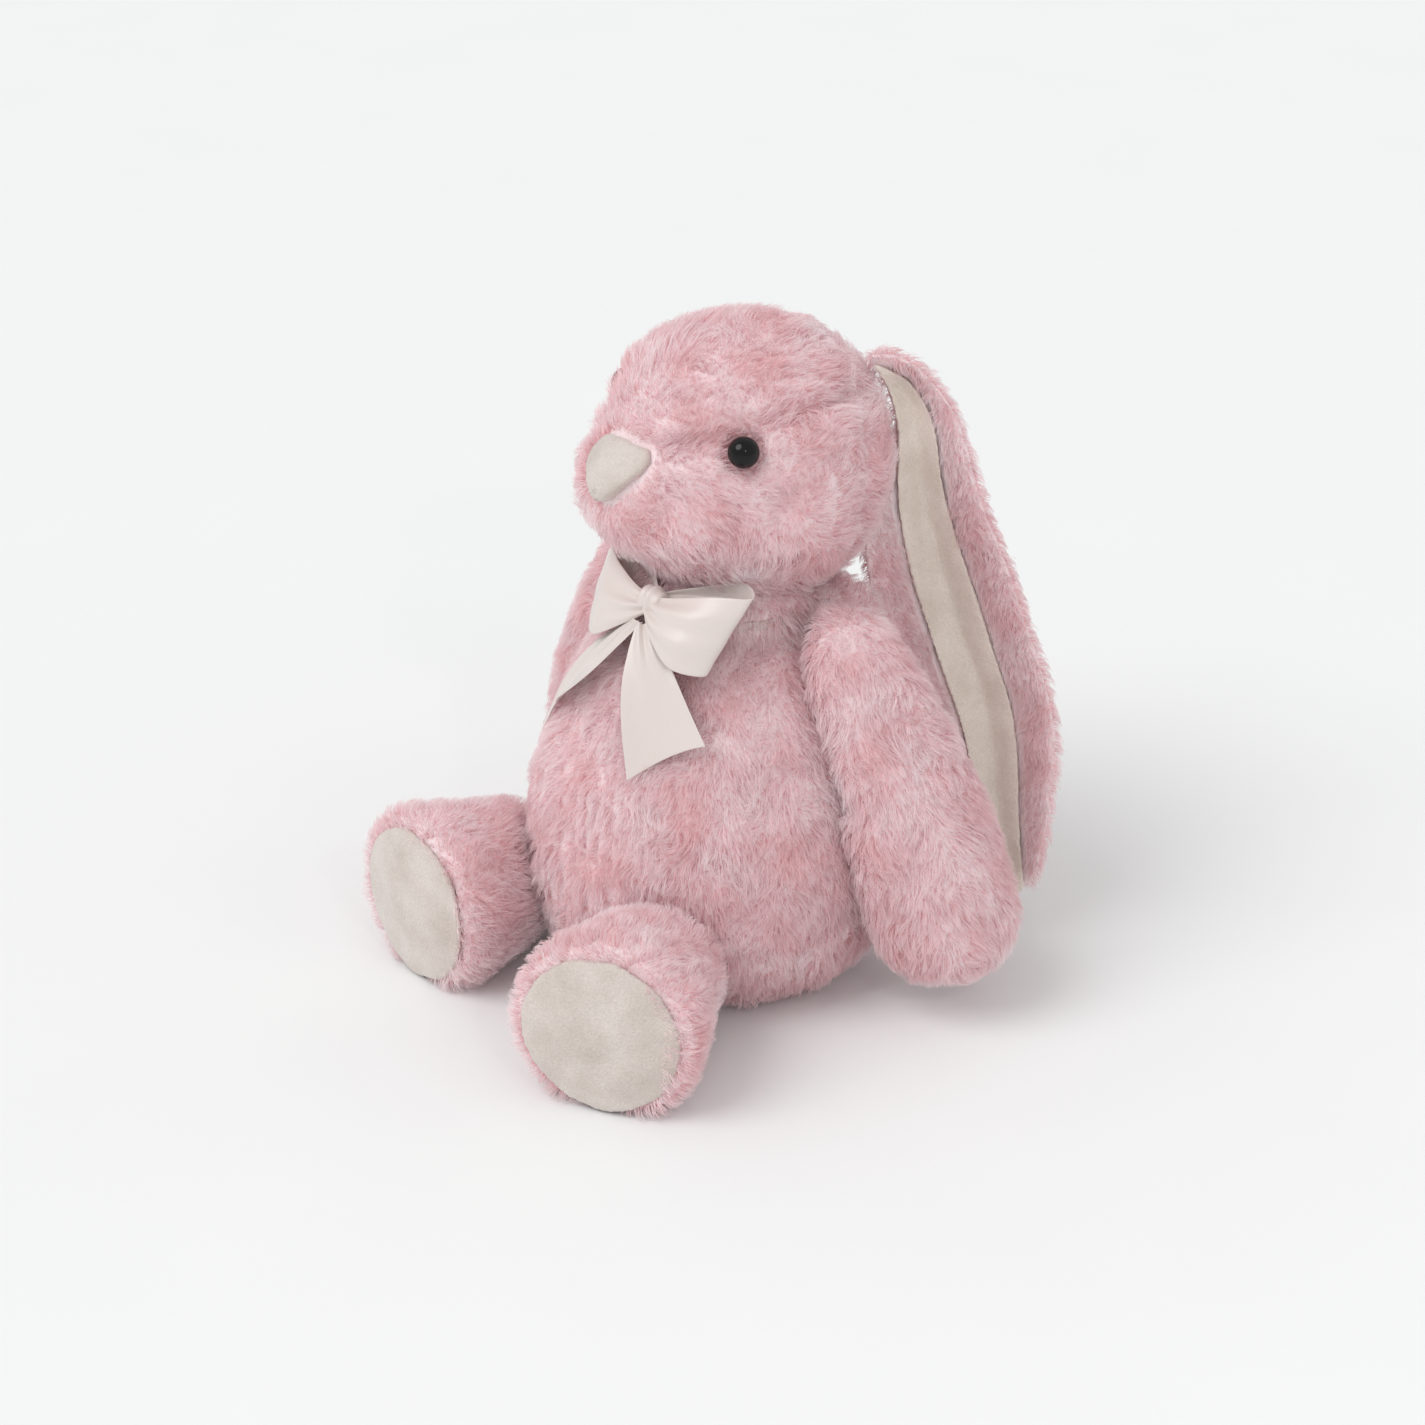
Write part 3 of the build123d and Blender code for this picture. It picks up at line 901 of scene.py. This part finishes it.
def clothe_leg(leg, side):
    """Fur combed back from the sole, which stays bare inside its rim."""
    name = f"leg_{side_name(side)}"
    sole = middle_of(f"foot_sole_{side_name(side)}")
    hip = spot(f"{name}_stuffing", 0.5, 1.0, 0.5)
    outward = (sole - hip).normalized()
    flow = away_from(sole, drift=-0.4 * outward)
    tufts(leg, flow, RUFFLE, seed=16 + side)
    dress(leg, name, PLUSH, [f"{name}_cover", f"{name}_stuffing"])
    centre, facing = np.array(sole), np.array(outward)

    def off_sole(roots):
        offset = roots - centre
        depth = offset @ facing
        radial = np.linalg.norm(offset - depth[:, None] * facing, axis=1)
        return (depth < -SOLE_DEPTH) | (radial > SOLE_RIM)

    grow(f"{name}_fur", leg, name, flow, seed=27 + side, length=PILE * 0.85, lean=0.62, keep=off_sole)


def clothe_ear(shell, side):
    """The velour lining, the lengthwise fold through lining and shell, and fur on the shell alone."""
    name = f"ear_{side_name(side)}"
    lining = make_lining(side)
    open_way = ear_open(side)
    fold = ear_fold_line(f"{name}_lining", open_way)
    for piece, extra in ((shell, 2.5 * MM), (lining, 0.0)):
        deepen_fold(piece, fold, open_way, depth=4.0 * MM + extra, width=11 * MM)
        deepen_fold(piece, fold, open_way, depth=5.0 * MM, width=4.0 * MM)
    dress(lining, name, LINING, [f"{name}_lining"])
    tufts(shell, toward((0, 0.1, -1)), EAR_RUFFLE, seed=19 + side)
    dress(shell, name, PLUSH, [f"{name}_shell"])
    grow(f"{name}_fur", shell, name, toward((0.15 * side, 0.25, -1)), seed=30 + side, length=PILE * 0.8,
         keep=clear_of(lining, LINING_CLEARANCE))


def clothe(skins):
    """Dresses every skin and grows its fur."""
    clothe_head(skins["head"])
    clothe_torso(skins["torso"])
    for side in SIDES:
        clothe_arm(skins[f"arm_{side_name(side)}"], side)
        clothe_leg(skins[f"leg_{side_name(side)}"], side)
        clothe_ear(skins[f"ear_{side_name(side)}"], side)


def build_tail():
    """The round tail with fluffier fur than the rest."""
    obj = cad_copy("tail_skin", "tail_stuffing")
    remesh(obj, SKIN_VOXEL, 4)
    subdivide(obj)
    middle = spot("tail_stuffing", 0.5, 0.3, 0.5)
    tufts(obj, away_from(middle), RUFFLE, seed=17)
    dress(obj, "torso", PLUSH, ["tail_cover", "tail_stuffing"])
    flow = away_from(middle, drift=(0, 0, -0.6))
    grow("tail_fur", obj, "torso", flow, seed=29, length=PILE * 1.2, lean=0.45)


# Velour soles and glossy eyes

def build_soles():
    for side in SIDES:
        name = side_name(side)
        obj = cad_copy(f"sole_{name}", f"foot_sole_{name}")
        remesh(obj, SOLE_VOXEL, 8)
        co, normal = points_of(obj), normals_of(obj)
        set_points(obj, co + normal * (0.35 * MM * waves(co, 18 * MM, 71 + side)[:, 0])[:, None])
        dress(obj, f"leg_{name}", SOLE, [f"foot_sole_{name}"])


def paint_cad_pieces():
    """The eyes and the thread of the neck seam are shown as they are in the CAD."""
    for side in SIDES:
        shade_smooth(paint_node(f"eye_{side_name(side)}", EYE))
    paint_node("neck_seam_thread", PLUSH)


# Satin bow

KNOT = spot("bow_knot", 0.5, 0.5, 0.5)


def woven(name, grid, wrap=(False, False), repeat=1, capped=False):
    """Quads through a grid of points, with a UV map that runs along the grid's rows and across its columns.

    wrap tells whether the grid closes on itself along and across, and capped fills its two ends."""
    bm = bmesh.new()
    uv_layer = bm.loops.layers.uv.new("ribbon")
    verts = [[bm.verts.new(point) for point in line] for line in grid]
    rows, columns = len(verts), len(verts[0])
    along = rows if wrap[0] else rows - 1
    across = columns if wrap[1] else columns - 1
    for i in range(along):
        for j in range(across):
            corners = ((i, j), (i, j + 1), (i + 1, j + 1), (i + 1, j))
            face = bm.faces.new([verts[r % rows][c % columns] for r, c in corners])
            for loop, (r, c) in zip(face.loops, corners):
                loop[uv_layer].uv = (r / along * repeat, c / across)
    if capped:
        bm.faces.new(verts[0][::-1])
        bm.faces.new(verts[-1])
    if any(wrap):
        bmesh.ops.recalc_face_normals(bm, faces=bm.faces)
    return link_bmesh(name, bm)


def ribbon(name, rows, node, closed=False):
    """A ribbon through rows of (left edge, middle, right edge) points, pleated where it is gathered.

    closed is for a loop, which is gathered at both ends."""
    left, middle, right = [curve_points([row[k] for row in rows], RIBBON_STEPS) for k in range(3)]
    grid = []
    for i in range(RIBBON_STEPS + 1):
        a, b, c = left[i], middle[i], right[i]
        ahead = middle[min(i + 1, RIBBON_STEPS)] - middle[max(i - 1, 0)]
        outward = np.cross(a - c, ahead)
        outward /= max(np.linalg.norm(outward), 1e-12)
        travel = i / RIBBON_STEPS
        from_gather = min(travel, 1 - travel) if closed else travel
        gather = max(0.12, 1 - 1.9 * from_gather)
        line = []
        for j in range(RIBBON_COLUMNS):
            t = j / (RIBBON_COLUMNS - 1)
            p = a * (1 - t) * (1 - 2 * t) + b * 4 * t * (1 - t) + c * t * (2 * t - 1)
            pleat = PLEAT_HEIGHT * gather * math.sin(5 * math.pi * t + 2.0 * travel)
            line.append(p + outward * pleat * math.sin(math.pi * t) ** 0.5)
        grid.append(line)
    obj = woven(name, grid)
    solid = obj.modifiers.new("solid", "SOLIDIFY")
    solid.thickness = RIBBON_THICKNESS
    solid.offset = 0.0
    smooth = obj.modifiers.new("subdivide", "SUBSURF")
    smooth.levels = 1
    bake(obj)
    dress(obj, "neck", RIBBON, [node])


def ribbon_row(centre, half, twist, cup, along):
    """One ribbon row: its half width lies along a twisted direction, and its middle cups forwards."""
    across = Vector(along).normalized()
    across = Vector((across.x, across.y * math.cos(twist) - across.z * math.sin(twist),
                     across.y * math.sin(twist) + across.z * math.cos(twist)))
    return (centre + across * half, centre + Vector((0, -cup, 0)), centre - across * half)


def build_loop(side):
    """A bow loop: out along the front, round a soft fold and back behind itself to the knot."""
    node = f"bow_loop_{side_name(side)}"
    tip = spot(node, 0.5 + 0.5 * side, 0.62, 0.5)
    reach = (tip - KNOT) * 0.84
    lean = (0.18 * side, 0.5, 0.8)
    front, back = Vector((0, -9 * MM, -1 * MM)), Vector((0, 5 * MM, 1 * MM))
    stations = ((0.0, front * 0.3, 3.5 * MM, 1.5 * MM),         # share of reach, offset, half width, cup
                (0.28, front * 0.8, 9 * MM, 2.5 * MM),
                (0.68, front, RIBBON_HALF * 0.92, 3 * MM),
                (1.0, front * 0.3, RIBBON_HALF, 1 * MM),
                (0.72, back, RIBBON_HALF * 0.95, -2 * MM),
                (0.3, back * 0.8, 9 * MM, -1.5 * MM),
                (0.0, back * 0.3, 3.5 * MM, -1 * MM))
    rows = [ribbon_row(KNOT + reach * share + offset, half, 0.0, cup, lean)
            for share, offset, half, cup in stations]
    ribbon(f"{node}_satin", rows, node, closed=True)


def build_tail_ribbon(side):
    """A ribbon tail that falls over the chest and ends in a slanted cut."""
    node = f"bow_tail_{side_name(side)}"
    low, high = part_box(node)
    outer = high.x if side > 0 else low.x
    start = KNOT + Vector((2 * MM * side, -5 * MM, -6 * MM))
    end = Vector((outer - 15 * MM * side, low.y + 8 * MM, low.z + 15 * MM))
    across = Vector((0.87, 0.46 * side, -0.08 * side))
    cut = (3 * MM, -7 * MM, -22 * MM)           # rise of the left edge, middle and right edge at the end
    widths = (4, 8, 12, 15, 16.5)
    rows = []
    for i, half in enumerate(widths):
        t = i / (len(widths) - 1)
        centre = start.lerp(end, t) + Vector((0, -3 * MM * math.sin(math.pi * t), 0))
        level = ribbon_row(centre, half * MM, 0.12 * math.sin(5 * t), 2.6 * MM * math.cos(4 * t), across)
        rows.append(tuple(edge + Vector((0, 0, rise * t ** 3)) for edge, rise in zip(level, cut)))
    ribbon(f"{node}_satin", rows, node)


def build_knot():
    """The knot: a pleated band of ribbon round the gathered middle of the bow."""
    low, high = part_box("bow_knot")
    half = (high - low) / 2
    around, across = 40, 14
    grid = []
    for j in range(across + 1):
        t = j / across * 2 - 1
        belly = math.sqrt(max(0.0, 1 - (0.82 * t) ** 2))
        pleat = 1 + 0.09 * math.sin(9 * t)
        turns = [2 * math.pi * i / around for i in range(around)]
        grid.append([(KNOT.x + half.x * 0.95 * t,
                      KNOT.y + half.y * belly * pleat * math.cos(turn),
                      KNOT.z + half.z * belly * pleat * math.sin(turn)) for turn in turns])
    obj = woven("bow_knot_satin", grid, wrap=(False, True), capped=True)
    subdivide(obj)
    dress(obj, "neck", RIBBON, ["bow_knot"])


def build_band():
    """The ribbon round the neck, gathered into the crease under the head."""
    low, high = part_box("ribbon_neck_band")
    centre, radius = (low + high) / 2, (high.x - low.x) / 2 - 2.6 * MM
    around, section = 120, 8
    grid = []
    for i in range(around):
        turn = 2 * math.pi * i / around
        ring = []
        for j in range(section):
            t = j / section * 2 * math.pi
            out = radius + 0.9 * MM * math.cos(t) * (1 + 0.2 * math.sin(13 * turn))
            ring.append((centre.x + out * math.cos(turn), centre.y + out * math.sin(turn),
                         centre.z + 2.4 * MM * math.sin(t)))
        grid.append(ring)
    obj = woven("neck_band_satin", grid, wrap=(True, True), repeat=6)
    shade_smooth(obj)
    dress(obj, "neck", RIBBON, ["ribbon_neck_band"])


def build_bow():
    for side in SIDES:
        build_loop(side)
        build_tail_ribbon(side)
    build_knot()
    build_band()


# Studio

def build_floor():
    bpy.ops.mesh.primitive_plane_add(size=FLOOR_SIZE)
    floor = bpy.context.object
    floor.name = "floor"
    floor.data.materials.append(floor_material("floor"))


def light_studio():
    """A bright even surround, a broad soft key from above and a small lamp for the glint in the eye."""
    world = bpy.data.worlds.new("studio")
    bpy.context.scene.world = world
    world.use_nodes = True
    background = world.node_tree.nodes["Background"]
    background.inputs["Color"].default_value = (1, 1, 1, 1)
    background.inputs["Strength"].default_value = WORLD_STRENGTH
    key = bpy.data.lights.new("key", "SUN")
    key.energy = SUN_ENERGY
    key.angle = math.radians(SUN_SPREAD)
    link("key", key).rotation_euler = [math.radians(angle) for angle in SUN_TURN]
    catch = bpy.data.lights.new("catchlight", "AREA")
    catch.energy = CATCHLIGHT_POWER
    catch.size = CATCHLIGHT_SIZE
    lamp = link("catchlight", catch)
    lamp.location = CATCHLIGHT_PLACE
    lamp.rotation_euler = (CATCHLIGHT_TARGET - lamp.location).to_track_quat("-Z", "Y").to_euler()
    bpy.context.scene.view_settings.view_transform = "Standard"


def place_camera():
    azimuth, elevation = math.radians(CAMERA_AZIMUTH), math.radians(CAMERA_ELEVATION)
    away = Vector((math.sin(azimuth) * math.cos(elevation),
                   -math.cos(azimuth) * math.cos(elevation),
                   math.sin(elevation)))
    camera = bpy.data.cameras.new("camera")
    camera.lens = CAMERA_LENS
    camera.sensor_width = CAMERA_SENSOR
    viewer = link("camera", camera)
    viewer.location = CAMERA_TARGET + away * CAMERA_DISTANCE
    viewer.rotation_euler = (-away).to_track_quat("-Z", "Y").to_euler()
    bpy.context.scene.camera = viewer


clothe(build_plush())
build_tail()
build_soles()
paint_cad_pieces()
build_bow()
build_floor()
light_studio()
place_camera()
